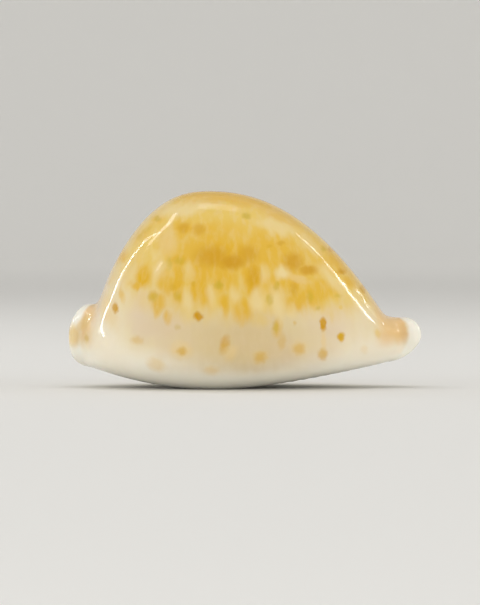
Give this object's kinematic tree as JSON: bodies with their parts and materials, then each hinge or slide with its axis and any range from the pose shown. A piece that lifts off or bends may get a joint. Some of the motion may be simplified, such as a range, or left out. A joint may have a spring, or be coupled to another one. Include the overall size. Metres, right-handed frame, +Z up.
{
  "type": "cowrie shell",
  "caption": "Glossy humped cowrie shell with drawn-out flanged ends and a toothed slit along its base, resting on its belly.",
  "frame": {"origin": "centre of the bounding box in plan, at the level of the small flat spot on the base that the shell rests on", "axes": "+X along the length towards the narrow front end, +Z up through the crest of the hump, -Y towards the outer lip, the side that the picture shows"},
  "size_m": [0.08, 0.05, 0.0447],
  "materials": {
    "shell_porcelain": "glossy natural porcelain, cream below with an ochre cloud and small orange-brown spots above"
  },
  "bodies": {
    "root": {"cowrie_shell": "shell_porcelain"}
  },
  "joints": []
}
